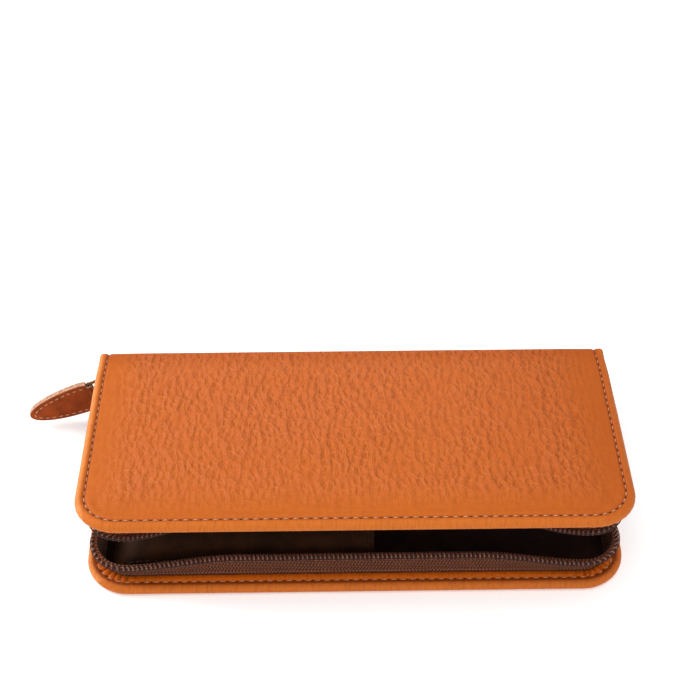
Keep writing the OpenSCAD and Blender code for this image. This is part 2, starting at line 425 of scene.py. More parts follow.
def outer_leather():
    """Milled leather: long soft pebbles that fade out towards the turned edges."""
    m = Shader("outer_leather")
    vector, (x, c, d) = m.sheet_mm()
    bent = m.warped(m.warped(vector, 0.07, 4.0), 0.3, 1.0)
    pebbles = m.cells(m.scaled(bent, (0.44, 0.21, 0.0)), 0.11)
    small = m.cells(m.scaled(bent, (1.05, 0.65, 0.0)), 0.15)
    finest = m.scaled(m.warped(vector, 0.9, 0.6), (1.5, 1.15, 0.0))
    fine = m.ramp(m.crease(finest, 1.0), 0.0, 0.4)
    inside = m.ramp(d, 4.5, 20.0, 0.15, 1.0)
    patchy = m.ramp(m.noise(vector, 0.05), 0.3, 0.6, 0.55, 1.0)
    strength = m.math("MULTIPLY", inside, patchy)
    swell = m.noise(m.scaled(bent, (0.30, 0.13, 0.1)), 1.0, 2.0)
    body = m.math("ADD", m.math("MULTIPLY", pebbles, -1.5), m.math("MULTIPLY", small, -0.38))
    body = m.math("MULTIPLY", m.math("ADD", body, m.math("MULTIPLY", swell, 0.4)), strength)
    # Painted highlight: thin pale lines along the pebbles' borders, for their lit edges.
    pebble_edge_highlight = m.ramp(m.crease(m.scaled(bent, (0.44, 0.21, 0.0)), 1.0), 0.0, 0.09, 1.0, 0.0)
    pebble_edge_highlight = m.math("MULTIPLY", pebble_edge_highlight, strength)
    by_front = m.math("MULTIPLY", m.ramp(c, COVER_L - 17.0, COVER_L - 10.0), m.ramp(d, 4.6, 6.5))
    rolls = m.math("MULTIPLY", m.noise(m.scaled(vector, (0.035, 0.75, 0.0)), 1.0, 2.0), by_front)
    body = m.math("ADD", body, m.math("MULTIPLY", rolls, 0.9))
    speckle = m.math("MULTIPLY", m.noise(vector, 2.2), 0.08)
    pores = m.math("ADD", m.math("MULTIPLY", fine, 0.08), speckle)

    # Creases run across the rolled edge, so they turn with it.
    on_side = m.ramp(m.math("ABSOLUTE", x), HALF_W - 9.0, HALF_W - 5.0)
    across_front = m.noise(m.scaled(vector, (1.3, 0.16, 0.0)), 1.0, 3.0)
    across_side = m.noise(m.scaled(vector, (0.16, 1.3, 0.0)), 1.0, 3.0)
    puckers = m.math(
        "ADD",
        m.math("MULTIPLY", across_side, on_side),
        m.math("MULTIPLY", across_front, m.math("SUBTRACT", 1.0, on_side)),
    )
    on_roll = m.ramp(d, -1.0, 4.0, 1.0, 0.15)
    rolled = m.math("MULTIPLY", puckers, m.math("MULTIPLY", on_roll, 0.7))
    height = m.math("ADD", m.math("ADD", body, pores), rolled)

    salmon, amber = (0.47, 0.104, 0.0165), (0.45, 0.098, 0.0055)
    broad = m.ramp(m.noise(vector, 0.022, 2.0), 0.35, 0.65)
    near_edge = m.ramp(d, 4.0, 24.0, 1.0, 0.0)
    # Painted shade: the leather darkens towards the right, away from the window light.
    right_side_shade = m.ramp(x, 20.0, 95.0, 0.0, 0.75)
    color = m.blend(m.math("MAXIMUM", m.math("MULTIPLY", broad, 0.4), near_edge), salmon, amber)
    color = m.blend(right_side_shade, color, (0.385, 0.075, 0.0045))
    # Painted shade: darker towards the back of the cover, over the fold and the spine.
    color = m.blend(m.ramp(c, -1.0, 10.0, 0.55, 0.0), color, (0.33, 0.058, 0.003))
    # Painted shade: darker in the valleys between the pebbles.
    pebble_valley_shade = m.math("MULTIPLY", m.ramp(pebbles, 0.42, 0.75), strength)
    color = m.blend(m.math("MULTIPLY", pebble_valley_shade, 0.22), color, (0.27, 0.045, 0.004))
    # Painted highlight on the pebbles' edges.
    color = m.blend(m.math("MULTIPLY", pebble_edge_highlight, 0.30), color, (0.66, 0.20, 0.055))
    mottle = m.ramp(m.noise(vector, 0.35, 4.0), 0.3, 0.7, 0.0, 0.22)
    color = m.blend(mottle, color, (0.33, 0.062, 0.006))
    on_bead = m.math("MULTIPLY", m.ramp(d, 0.6, 2.6, 1.0, 0.0), m.ramp(d, -2.2, -0.4))
    color = m.blend(m.math("MULTIPLY", on_bead, 0.4), color, (0.62, 0.17, 0.018))
    # Painted highlight: a paler band on the left bead, where the window light falls.
    left_bead_highlight = m.math("MULTIPLY", on_bead, m.ramp(x, 2.5 - HALF_W, 4.0 - HALF_W, 1.0, 0.0))
    color = m.blend(m.math("MULTIPLY", left_bead_highlight, 0.35), color, (0.86, 0.36, 0.10))
    # Painted shade: dark along the stitch line, in the groove the stitches sink into.
    from_stitch = m.math("ABSOLUTE", m.math("SUBTRACT", m.math("ABSOLUTE", d), STITCH_INSET))
    stitch_groove_shade = m.ramp(from_stitch, 0.1, 0.75, 0.6, 0.0)
    color = m.blend(stitch_groove_shade, color, (0.17, 0.024, 0.002))
    # Painted shadow: a dark band just under the stitch row on the turned-in edge.
    under_stitch_shadow = m.ramp(m.math("ABSOLUTE", m.math("ADD", d, 2.35)), 0.2, 0.95, 0.8, 0.0)
    color = m.blend(under_stitch_shadow, color, (0.21, 0.034, 0.002))
    inner_face = m.ramp(d, -3.4, -2.2, 0.75, 0.0)
    color = m.blend(inner_face, color, (0.62, 0.118, 0.0012))
    # Painted shade: darker in the valleys of the puckers on the rolled edge.
    pucker_valley_shade = m.math("MULTIPLY", m.ramp(puckers, 0.35, 0.55, 0.32, 0.0), on_roll)
    color = m.blend(pucker_valley_shade, color, (0.30, 0.05, 0.003))
    rough = m.ramp(m.noise(vector, 0.8), 0.3, 0.7, 0.50, 0.62)
    return m.finish(color=color, roughness=rough, specular=0.17, normal=m.bump(height, 0.62, 1.0))


def pull_leather():
    """Smooth leather with a painted cut edge, which is where the face looks sideways."""
    m = Shader("pull_leather")
    where = m.object_mm()
    facing = m.node("ShaderNodeTexCoord").outputs["Normal"]
    facing_y = m.node("ShaderNodeSeparateXYZ", {0: facing}).outputs[1]
    on_edge = m.ramp(m.math("ABSOLUTE", facing_y), 0.55, 0.8, 1.0, 0.0)
    tone = m.ramp(m.noise(where, 0.25, 4.0), 0.3, 0.7)
    color = m.blend(tone, (0.20, 0.030, 0.0012), (0.30, 0.047, 0.0018))
    pores = m.crease(where, 1.6)
    edge = m.blend(m.ramp(m.noise(where, 1.2), 0.3, 0.7), (0.33, 0.15, 0.085), (0.56, 0.33, 0.22))
    color = m.blend(on_edge, color, edge)
    height = m.math("ADD", m.math("MULTIPLY", m.ramp(pores, 0.0, 0.3), 0.3), m.noise(where, 1.5))
    return m.finish(color=color, roughness=0.55, specular=0.09, normal=m.bump(height, 0.1, 0.8))


def suede(name, dark, light, fleck):
    m = Shader(name)
    vector, _ = m.sheet_mm()
    nap = m.noise(vector, 0.09, 4.0, 0.6)
    fibres = m.noise(m.scaled(vector, (3.2, 2.4, 1.0)), 1.0, 4.0, 0.7)
    color = m.blend(m.ramp(nap, 0.35, 0.65), dark, light)
    color = m.blend(m.ramp(fibres, 0.5, 0.75, 0.0, 0.6), color, fleck)
    return m.finish(
        color=color,
        roughness=0.95,
        specular=0.15,
        sheen=0.06,
        sheen_roughness=0.5,
        normal=m.bump(fibres, 0.18, 0.9),
    )


def zip_tape():
    """A herringbone: slanted ribs whose slant turns over every 1.1 mm of the tape's
    width, with a row of pale sewing thread near its foot."""
    m = Shader("zip_tape")
    vector, (s, t, _) = m.sheet_mm()
    fold = m.math("PINGPONG", t, 1.1)
    slant = m.math("ADD", s, m.math("MULTIPLY", fold, 0.8))
    ribs = m.math("SINE", m.math("MULTIPLY", slant, 2 * math.pi / 1.15))
    threads = m.math("SINE", m.math("MULTIPLY", t, 2 * math.pi / 0.73))
    weave = m.math("ADD", m.math("MULTIPLY", ribs, 0.5), m.math("MULTIPLY", threads, 0.4))
    tone = m.ramp(m.noise(vector, 0.2), 0.3, 0.7)
    base = m.blend(tone, (0.040, 0.007, 0.0014), (0.060, 0.012, 0.0025))
    color = m.blend(m.ramp(weave, -0.1, 0.8, 0.0, 0.9), base, (0.25, 0.088, 0.040))
    in_row = m.ramp(m.math("ABSOLUTE", m.math("SUBTRACT", t, 4.75)), 0.1, 0.3, 1.0, 0.0)
    dot = m.ramp(m.math("SINE", m.math("MULTIPLY", s, 2 * math.pi / 1.2)), 0.0, 0.5)
    color = m.blend(m.math("MULTIPLY", in_row, dot), color, (0.30, 0.13, 0.065))
    return m.finish(
        color=color,
        roughness=0.8,
        specular=0.25,
        sheen=0.05,
        sheen_roughness=0.4,
        normal=m.bump(weave, 0.14, 0.9),
    )


def coil_plastic():
    m = Shader("zip_coil")
    where = m.object_mm()
    tone = m.ramp(m.noise(where, 0.6), 0.3, 0.7)
    color = m.blend(tone, (0.14, 0.046, 0.027), (0.24, 0.096, 0.062))
    return m.finish(
        color=color, roughness=0.33, specular=0.5, normal=m.bump(m.noise(where, 4.0), 0.03, 0.6)
    )


def thread(name, dark, light, roughness=0.55):
    """Plied thread: fine slanted ridges along it."""
    m = Shader(name)
    _, (s, around, _) = m.sheet_mm()
    twist = m.math("ADD", m.math("MULTIPLY", s, 2.6), around)
    ply = m.math("SINE", m.math("MULTIPLY", twist, 2 * math.pi))
    color = m.blend(m.ramp(ply, -1.0, 0.6), dark, light)
    return m.finish(color=color, roughness=roughness, specular=0.3, normal=m.bump(ply, 0.06, 0.8))


def antique_brass():
    m = Shader("antique_brass")
    where = m.object_mm()
    brushed = m.noise(m.scaled(where, (0.6, 5.0, 5.0)), 1.0, 4.0)
    tarnish = m.ramp(m.noise(where, 0.35, 4.0), 0.35, 0.65)
    color = m.blend(tarnish, (0.20, 0.105, 0.045), (0.10, 0.055, 0.028))
    return m.finish(
        color=color,
        metallic=1.0,
        roughness=m.ramp(tarnish, 0.0, 1.0, 0.27, 0.42),
        normal=m.bump(brushed, 0.02, 0.7),
    )


def grey_card():
    m = Shader("grey_card")
    where = m.object_mm()
    fibres = m.noise(where, 0.9, 5.0)
    color = m.blend(m.ramp(fibres, 0.35, 0.65), (0.24, 0.20, 0.16), (0.36, 0.31, 0.25))
    return m.finish(color=color, roughness=0.9, specular=0.1, normal=m.bump(fibres, 0.08, 0.6))


def studio_floor():
    m = Shader("studio_floor")
    where = m.node("ShaderNodeTexCoord").outputs["Object"]
    color = m.blend(m.noise(where, 6.0), (0.90, 0.90, 0.90), (0.93, 0.93, 0.93))
    white = (1.0, 1.0, 1.0)
    return m.finish(color=color, roughness=0.7, specular=0.2, glow=white, glow_strength=0.22)


LEATHER = outer_leather()
PULL_LEATHER = pull_leather()
LINING = suede("lining_suede", (0.016, 0.005, 0.0035), (0.030, 0.010, 0.006), (0.05, 0.019, 0.011))
POCKET = suede("pocket_suede", (0.020, 0.006, 0.0014), (0.038, 0.012, 0.003), (0.072, 0.027, 0.009))
TAPE = zip_tape()
COIL = coil_plastic()
THREAD = thread("tan_thread", (0.38, 0.15, 0.06), (0.68, 0.36, 0.19))
COIL_THREAD = thread("brown_thread", (0.026, 0.008, 0.004), (0.055, 0.018, 0.010), 0.8)
BRASS = antique_brass()
CARD = grey_card()


# ---------------------------------------------------------------- camera, light, floor

CAMERA_AT = Vector((-0.0065, -0.3479, 0.4373))
CAMERA_DOWN = 46.29
CAMERA_TURN = -0.85
CAMERA_LENS = 79.16


def make_camera():
    data = bpy.data.cameras.new("camera")
    data.lens = CAMERA_LENS
    data.sensor_width = 36.0
    data.clip_start, data.clip_end = 0.01, 20.0
    camera = bpy.data.objects.new("camera", data)
    camera.location = CAMERA_AT
    camera.rotation_euler = (math.radians(90 - CAMERA_DOWN), 0.0, math.radians(CAMERA_TURN))
    bpy.context.scene.collection.objects.link(camera)
    bpy.context.scene.camera = camera


def area_light(name, where, target, size, power):
    data = bpy.data.lights.new(name, "AREA")
    data.shape = "RECTANGLE"
    data.size, data.size_y = size
    data.energy = power
    light = bpy.data.objects.new(name, data)
    light.location = where
    aim = Vector(target) - Vector(where)
    light.rotation_euler = aim.to_track_quat("-Z", "Y").to_euler()
    bpy.context.scene.collection.objects.link(light)


def make_studio():
    world = bpy.data.worlds.new("studio")
    world.use_nodes = True
    background = world.node_tree.nodes["Background"]
    background.inputs["Color"].default_value = (1.0, 1.0, 1.0, 1.0)
    background.inputs["Strength"].default_value = 0.56
    bpy.context.scene.world = world
    middle = (0.0, 0.0, 0.02)
    area_light("window", (-1.05, 0.45, 0.75), middle, (0.7, 0.7), 17.0)
    area_light("overhead", (0.1, -0.1, 1.3), middle, (1.1, 1.1), 7.5)
    area_light("front_fill", (0.3, -1.1, 0.5), middle, (0.9, 0.5), 5.0)
    reach = 6.0
    corners = [(-reach, -reach, 0), (reach, -reach, 0), (reach, reach, 0), (-reach, reach, 0)]
    floor = piece(
        "floor", [Vector(v) / MM for v in corners], [(0, 1, 2, 3)], studio_floor(), flat=True
    )
    bpy.context.scene.view_settings.view_transform = "Standard"


# ---------------------------------------------------------------- the leather

PANEL_INSET = 4.4
FLANGE_W = 6.0
FLANGE_T = 0.8


def thickness_at(c):
    """The edge's thickness: full round the cover, and thinner on the fold and spine,
    which have no board or tape in them."""
    return mix(SPINE_T, RIM_H, smooth(-0.6, 4.0, c))


def pleat(x, c):
    """Small radial gathers where the turned-in edge goes round a corner."""
    along_front = max(HALF_W - CORNER_R - abs(x), 0.0)
    along_side = max(COVER_L - CORNER_R - c, 0.0)
    ends = (1 - smooth(0.0, 9.0, along_front)) * (1 - smooth(0.0, 6.0, along_side))
    if ends == 0:
        return 0.0
    angle = math.atan2(max(c - (COVER_L - CORNER_R), 0.0), max(abs(x) - (HALF_W - CORNER_R), 0.0))
    walked = angle * CORNER_R + along_front - along_side
    wobble = noise.noise(Vector((walked * 0.35, x * 0.05, c * 0.02)))
    return ends * (math.sin(walked * 2.0 + 2.2 * wobble) + 0.5 * wobble)


def edge_profile(thickness, gather, waver):
    """(distance in, depth) from the panel's border, over the bead, to the lining."""
    r = thickness / 2
    points = [
        (PANEL_INSET, 0.10),
        (3.95, 0.16),
        (3.6, 0.34),
        (3.35, 0.46),
        (3.15, 0.48),
        (2.9, 0.38),
        (2.6, 0.14),
        (2.25, 0.02),
    ]
    for i in range(13):
        a = math.pi / 2 - math.pi * i / 12
        tuck = 0.07 * gather * smooth(math.pi / 6, -math.pi / 3, a)
        points.append((r - (r - tuck) * math.cos(a), r - (r - tuck) * math.sin(a)))
    top = thickness
    fold = 0.60 * gather
    points += [
        (2.5, top - 0.05),
        (2.75, top - 0.22 - fold * 0.3),
        (3.0, top - 0.44 - fold * 0.4),
        (3.25, top - 0.48 - fold * 0.5),
        (3.55, top - 0.30 - fold * 0.7),
        (3.95, top - 0.08 - fold),
        (4.6, top - 0.02 - fold),
        (5.3, top - 0.06 - fold),
        (5.75 + waver, top - 0.16 - fold * 0.6),
        (FLANGE_W + waver, top - 0.38 - fold * 0.3),
        (FLANGE_W + waver, top - FLANGE_T),
        (5.6, top - FLANGE_T - 0.05),
    ]
    return points


def crown(x, c, rise):
    """How far the panel stands out past its edges: rise in the middle, none at the rim."""
    d = edge_distance(x, c) - PANEL_INSET
    back = smooth(-1.0, 16.0, c)
    return rise * (1 - math.exp(-max(d, 0.0) / 11)) * back


def ripple(x, c):
    """Slack in the leather, under half a millimetre, that the grain alone can't show."""
    at = Vector((x * 0.045, c * 0.03, 0.0))
    return 0.16 * noise.noise(at) + 0.07 * noise.noise(at * 2.7)


def grid_panel(half, left, front, verts, sheet, depth, borders):
    """Fills the space inside a rim with rows from side to side, and returns its faces.
    left holds the left side's points and front the front's x places. borders holds the
    rim's own vertices down both sides and along the front, which the grid shares."""
    faces = []
    first_column, last_column, front_row = borders
    reach = abs(left[-1][0])
    shares = [(x + reach) / (2 * reach) for x in front]
    rows = []
    for i, (x_edge, c) in enumerate(left[:-1]):
        width = abs(x_edge)
        row = [first_column[i]]
        for u in shares:
            x = mix(-width, width, u)
            row.append(len(verts))
            verts.append(half.place(x, c, depth(x, c)))
            sheet.append((x, c, max(edge_distance(x, c), PANEL_INSET)))
        row.append(last_column[i])
        rows.append(row)
    rows.append([first_column[-1], *front_row, last_column[-1]])
    for a, b in zip(rows, rows[1:]):
        for j in range(len(a) - 1):
            faces.append((a[j], a[j + 1], b[j + 1], b[j]))
    return faces


def make_skin(name, half, rise):
    """A cover's outer leather with its turned-in edge, its fold and half the spine."""
    left = side_stations()
    front = front_stations()
    right = [(-x, c, -nx, nc) for x, c, nx, nc in reversed(left)]
    verts, sheet, faces, rings = [], [], [], []
    for x, c, nx, nc in left + front + right:
        thickness = thickness_at(c)
        waver = 0.12 * noise.noise(Vector((x * 0.25, c * 0.25, 3.0)))
        profile = edge_profile(thickness, pleat(x, c), waver)
        ring, walked, before, turned = [], 0.0, profile[0], False
        for d, h in profile:
            walked += math.hypot(d - before[0], h - before[1])
            before = (d, h)
            turned = turned or h >= thickness / 2
            ring.append(len(verts))
            verts.append(half.place(x + nx * d, c + nc * d, h))
            out = PANEL_INSET - walked
            sheet.append((x + nx * out, c + nc * out, -d if turned else d))
        rings.append(ring)
    for a, b in zip(rings, rings[1:]):
        for j in range(len(a) - 1):
            faces.append((a[j], b[j], b[j + 1], a[j + 1]))

    def depth(x, c):
        fade = smooth(0.0, 12.0, edge_distance(x, c) - PANEL_INSET)
        slack = ripple(x, c) * fade * smooth(-2.0, 10.0, c)
        if half.sign < 0:
            return 0.10 * (1 - fade)
        return 0.10 * (1 - fade) - crown(x, c, rise) - slack

    sides = [(x + nx * PANEL_INSET, c + nc * PANEL_INSET) for x, c, nx, nc in left]
    n = len(left)
    inner = [ring[0] for ring in rings]
    borders = (inner[:n], inner[-n:][::-1], inner[n:-n])
    faces += grid_panel(half, sides, [x for x, *_ in front], verts, sheet, depth, borders)
    return piece(name, verts, faces, LEATHER, sheet)


def make_lining(name, half):
    """The suede that lines one half, from under the zip tape to the middle of the spine."""
    inset = 6.4
    sides = [(x + nx * inset, c + nc * inset) for x, c, nx, nc in side_stations()]
    front = [x for x, *_ in front_stations()]
    verts, sheet = [], []

    def depth(x, c):
        level = mix(SPINE_T + 0.12, LINING_H, smooth(-2.2, 3.2, c))
        up = 0.5 * (1 - smooth(0.0, 1.5, edge_distance(x, c) - inset)) * smooth(2.0, 8.0, c)
        slack = 0.14 * (1 + noise.noise(Vector((x * 0.04, c * 0.05, 7.0)))) * smooth(4.0, 20.0, c)
        return level + up + slack

    def border(points):
        indices = []
        for x, c in points:
            indices.append(len(verts))
            verts.append(half.place(x, c, depth(x, c)))
            sheet.append((x, c, 0.0))
        return indices

    borders = (
        border(sides),
        border([(-x, c) for x, c in sides]),
        border([(x, COVER_L - inset) for x in front]),
    )
    faces = grid_panel(half, sides, front, verts, sheet, depth, borders)
    obj = piece(name, verts, faces, LINING, sheet)
    flat = (2 * (HALF_W - inset) * MM, (COVER_L - inset + FOLD_ARC + SPINE_HALF) * MM)
    return obj, flat


# ---------------------------------------------------------------- stitches


def add_stitch(tubes, a, b, out, radius):
    """One stitch between two holes: it rises out of the first and dives into the second."""
    sink, lift = 0.2, 0.12
    points, radii = [], []
    for i in range(7):
        t = i / 6
        bow = math.sin(math.pi * t)
        points.append(a.lerp(b, t) + out * mix(-sink, lift, bow ** 0.6))
        radii.append(radius * (0.62 + 0.38 * bow ** 0.5))
    tubes.add(points, radii, sides=7, squash=0.8, flat_dir=out)


def make_cover_stitches(name, half):
    """The same row of stitches seen from outside and from inside, and dark marks at the
    needle's holes between them: the holes are real, their darkness is painted shade."""
    tubes, hole_shades = Tubes(), Tubes()
    c0 = 1.2
    length = rim_length(STITCH_INSET, c0)
    count = round(length / STITCH_PITCH)
    pitch = length / count
    gap = 1.8
    for i in range(count):
        sway = 0.05 * noise.noise(Vector((i * 1.7, half.sign, 0.0)))
        ends = []
        for s in (i * pitch + gap / 2, (i + 1) * pitch - gap / 2, (i + 1) * pitch):
            ends.append(rim(s, STITCH_INSET + sway, c0)[:2])
        x, c = ends[0]
        thick = 0.26 if c > COVER_L - CORNER_R else 0.17
        for inner in (False, True):
            from_h, to_h = (0.0, 1.0) if inner else (1.0, 0.0)
            out = (half.place(x, c, to_h) - half.place(x, c, from_h)).normalized()
            places = []
            for x, c in ends:
                places.append(half.place(x, c, thickness_at(c) - 0.40 if inner else 0.38))
            start, end, hole = places
            add_stitch(tubes, start, end, out, thick)
            if i < count - 1:
                ahead = (end - start).normalized() * 0.3
                points = [hole - ahead - out * 0.1, hole, hole + ahead - out * 0.1]
                # Painted shade: a dark mark at each needle hole, darker than the thread, for the
                # shade inside the hole.
                hole_shades.add(points, [0.16, 0.36, 0.16], sides=8, squash=0.5, flat_dir=out)
    return tubes.make(name, THREAD), hole_shades.make(name + "_hole_shades", COIL_THREAD)


# ---------------------------------------------------------------- the zip


def lean(half, x, c):
    """How far the top of the tape leans in (positive) or out at a place on the rim. The
    upper tape hangs further in, and only comes outside at the two front corners."""
    reach = HALF_W - CORNER_R
    if half.sign < 0:
        middle, side, start = 2.0, -2.7, 40.0
    else:
        middle, side, start = 5.6, -1.7, 48.0
    if c > COVER_L - CORNER_R - 0.01:
        inward = mix(middle, side, smooth(start, reach, abs(x)))
        return inward + 0.25 * noise.noise(Vector((x * 0.06, 0.0, 5.0)))
    return mix(0.0, side, smooth(61.0, COVER_L - CORNER_R, c))


TAPE_TOP = COIL_HIGH.z - 1.15
COIL_MID = (COIL_HIGH.z + COIL_LOW.z) / 2


def tape_offset(half, x, c, h):
    """How far a point of the zip is moved in, and how far up the tape. The upper tape
    also buckles a little, which draws its coil up towards the cover."""
    t = clamp((h - TAPE_BASE) / (COIL_HIGH.z - TAPE_BASE))
    shift = lean(half, x, c)
    drawn_up = 3.3 * smooth(30.0, 60.0, c) if half.sign > 0 else 0.0
    buckle = 0.9 * drawn_up * math.sin(math.pi * clamp(t / 0.72))
    return shift * t ** 1.4 + buckle, -(shift ** 2) / 18 * t - drawn_up * t


def chain_place(half, s, inset, h):
    """A point on the zip: inset and h are where it would be if the tape stood upright."""
    x, c, nx, nc = rim(s, TAPE_INSET, TAPE_END_C)
    shift, drop = tape_offset(half, x, c, h)
    d = inset - TAPE_INSET + shift
    return half.place(x + nx * d, c + nc * d, h + drop)


HINGE_START = Vector((-86.0, 34.0, 14.2))
HINGE_END = HINGE_START + Vector((0.5, -2.9, 8.0))


def follow_weight(p):
    run = HINGE_END - HINGE_START
    t = clamp((Vector(p) - HINGE_START).dot(run) / run.length_squared)
    return t * t * (3 - 2 * t)


def opened(closed):
    """Turns a point of the closed upper zip to where it is at rest: the zip's end stays
    at the slider, and the rest of it goes with the cover."""
    offset = closed - HIGH_AXIS
    p = closed
    # The weight depends on where the point ends up, so it is found by repeating.
    for _ in range(12):
        turn = Matrix.Rotation(-OPEN_ANGLE * follow_weight(p), 3, "X")
        p = HIGH_AXIS + turn @ offset
    return p


def open_all(verts):
    return [opened(v) for v in verts]


TAPE_L = rim_length(TAPE_INSET, TAPE_END_C)


def make_tape(name, half, upper):
    """One half's tape: a foot that lies under the turned edge, and a wall that stands up
    from it and carries the coil. Returns the piece and the tape's flat size."""
    inset = TAPE_INSET + TAPE_T / 2
    columns = round(TAPE_L / 1.6)
    foot = [(inset - TAPE_FOOT, FOOT_H), (inset - TAPE_FOOT / 2, FOOT_H), (inset - 0.2, FOOT_H)]
    wall = [(inset, TAPE_BASE + (TAPE_TOP - TAPE_BASE) * i / 10) for i in range(11)]
    section = foot + wall
    verts, sheet, faces = [], [], []
    for i in range(columns + 1):
        s = TAPE_L * i / columns
        for d, h in section:
            verts.append(chain_place(half, s, d, h))
            sheet.append((s, h - inset + d, 0.0))
    rows = len(section)
    for i in range(columns):
        for j in range(rows - 1):
            a = i * rows + j
            faces.append((a, a + 1, a + rows + 1, a + rows))
    if upper:
        verts = open_all(verts)
    obj = piece(name, verts, faces, TAPE, sheet)
    solidify(obj, TAPE_T, 0.0)
    return obj, ((TAPE_TOP - TAPE_BASE + TAPE_FOOT) * MM, TAPE_L * MM)


COIL_W, COIL_H, WIRE_R = 0.66, 0.86, 0.32


def add_coil(tubes, band, half, s0, s1, phase):
    """A coil wound round a cord, from s0 to s1 along the zip, and the thread that holds
    it to the tape."""
    steps = 12
    d_mid = TAPE_INSET - COIL_W - WIRE_R
    turns = int((s1 - s0) / COIL_PITCH)
    points = []
    for i in range(turns * steps + 1):
        a = 2 * math.pi * i / steps
        # Each turn stands square across the tape and steps along on its inner side.
        part = (i % steps) / steps
        step = mix(0.5 * smooth(0.0, 0.25, part), 1.0, smooth(0.75, 1.0, part))
        s = s0 + COIL_PITCH * (i // steps + step) + phase
        wide, tall = math.cos(a), math.sin(a)
        wide = math.copysign(abs(wide) ** 0.8, wide)
        points.append(chain_place(half, s, d_mid + COIL_W * wide, COIL_MID + COIL_H * tall))
    tubes.add(points, [WIRE_R] * len(points), sides=6, flat_dir=(0.31, 0.27, 0.91))
    count = round((s1 - s0) / (COIL_PITCH / 2))
    # For each cord: how far in it lies from the coil's middle, its radius and its squash.
    for out, radius, squash in ((0.05, 0.44, 1.3), (-COIL_W - 0.24, 0.20, 1.2)):
        line = []
        for i in range(count + 1):
            s = s0 + (s1 - s0) * i / count
            line.append(chain_place(half, s, d_mid + out, COIL_MID))
        band.add(line, [radius] * len(line), sides=7, squash=squash, flat_dir=(0.0, 0.0, 1.0))


def make_chain(name, half, upper, spans, phase):
    """The coil and its cords over each span of the zip. phase shifts the turns along it,
    so that the two coils' turns lie between each other when they are joined."""
    tubes, band = Tubes(), Tubes()
    for s0, s1 in spans:
        add_coil(tubes, band, half, s0, s1, phase)
    if upper:
        tubes.verts, band.verts = open_all(tubes.verts), open_all(band.verts)
    return tubes.make(name, COIL), band.make(name + "_thread", COIL_THREAD)


# ---------------------------------------------------------------- the pen pocket


def sleeve_height(y, x):
    """The pocket's outer face above the lining: three soft arches, sewn down between."""
    pitch = (POCKET_HIGH.y - POCKET_LOW.y) / SLEEVES
    along = (y - POCKET_LOW.y) / pitch
    t = clamp(abs((along % 1.0) - 0.5) * 2)
    full = POCKET_HIGH.z - POCKET_LOW.z
    arch = (1 - t ** 3.2) ** 0.62
    sag = 1 - 0.07 * math.sin(math.pi * clamp((x - POCKET_LOW.x) / (POCKET_HIGH.x - POCKET_LOW.x)))
    closing = mix(0.1, 1.0, smooth(0.0, 11.0, x - POCKET_LOW.x))
    crumple = 0.35 * noise.noise(Vector((x * 0.07, y * 0.1, 2.0))) * arch
    return 1.0 + (full - 1.3) * arch * sag * closing + crumple


def make_pocket():
    """The suede sleeves, with a thicker hem at the mouth and a pinch where it's sewn."""
    hem = 5.0
    length = POCKET_HIGH.x - POCKET_LOW.x
    width = POCKET_HIGH.y - POCKET_LOW.y
    columns, rows = 96, 72
    verts, sheet, faces = [], [], []
    girth = 0.0
    for j in range(rows + 1):
        y = POCKET_LOW.y + width * j / rows
        if j:
            before = POCKET_LOW.y + width * (j - 1) / rows
            rise = sleeve_height(y, 0.0) - sleeve_height(before, 0.0)
            girth += math.hypot(y - before, rise)
        for i in range(columns + 1):
            x = POCKET_LOW.x + length * i / columns
            from_mouth = POCKET_HIGH.x - x
            step = 0.4 * (1 - smooth(hem - 0.6, hem, from_mouth))
            pinch = 0.22 * math.exp(-(((from_mouth - 2.0) / 0.5) ** 2))
            h = LINING_H + sleeve_height(y, x) + step - pinch
            verts.append(Vector((x, y, h)))
            sheet.append((x, girth, 0.0))
    for j in range(rows):
        for i in range(columns):
            a = j * (columns + 1) + i
            faces.append((a, a + 1, a + columns + 2, a + columns + 1))
    obj = piece("pen_sleeves", verts, faces, POCKET, sheet)
    solidify(obj, 0.8, -1.0)
    return obj, (length * MM, girth * MM)


def make_pocket_stitches():
    """Rows of stitches along each sleeve's sides, and one across the mouth."""
    tubes = Tubes()
    pitch_y = (POCKET_HIGH.y - POCKET_LOW.y) / SLEEVES
    up = Vector((0, 0, 1))

    def surface(x, y):
        return Vector((x, y, LINING_H + sleeve_height(y, x) + 0.08))

    for k in range(SLEEVES + 1):
        y = clamp(POCKET_LOW.y + pitch_y * k, POCKET_LOW.y + 0.5, POCKET_HIGH.y - 0.5)
        x = POCKET_LOW.x + 2.0
        while x + 2.6 < POCKET_HIGH.x - 1.0:
            add_stitch(tubes, surface(x, y), surface(x + 2.4, y), up, 0.22)
            x += 3.0
    y = POCKET_LOW.y + 1.0
    x = POCKET_HIGH.x - 2.0
    while y + 2.4 < POCKET_HIGH.y - 0.5:
        a, b = surface(x, y), surface(x, y + 2.2)
        slope = (b - a).normalized()
        out = Vector((1, 0, 0)).cross(slope)
        add_stitch(tubes, a + out * 0.3, b + out * 0.3, out.normalized(), 0.22)
        y += 2.9
    return tubes.make("sleeve_stitches", COIL_THREAD)


# ---------------------------------------------------------------- the pull

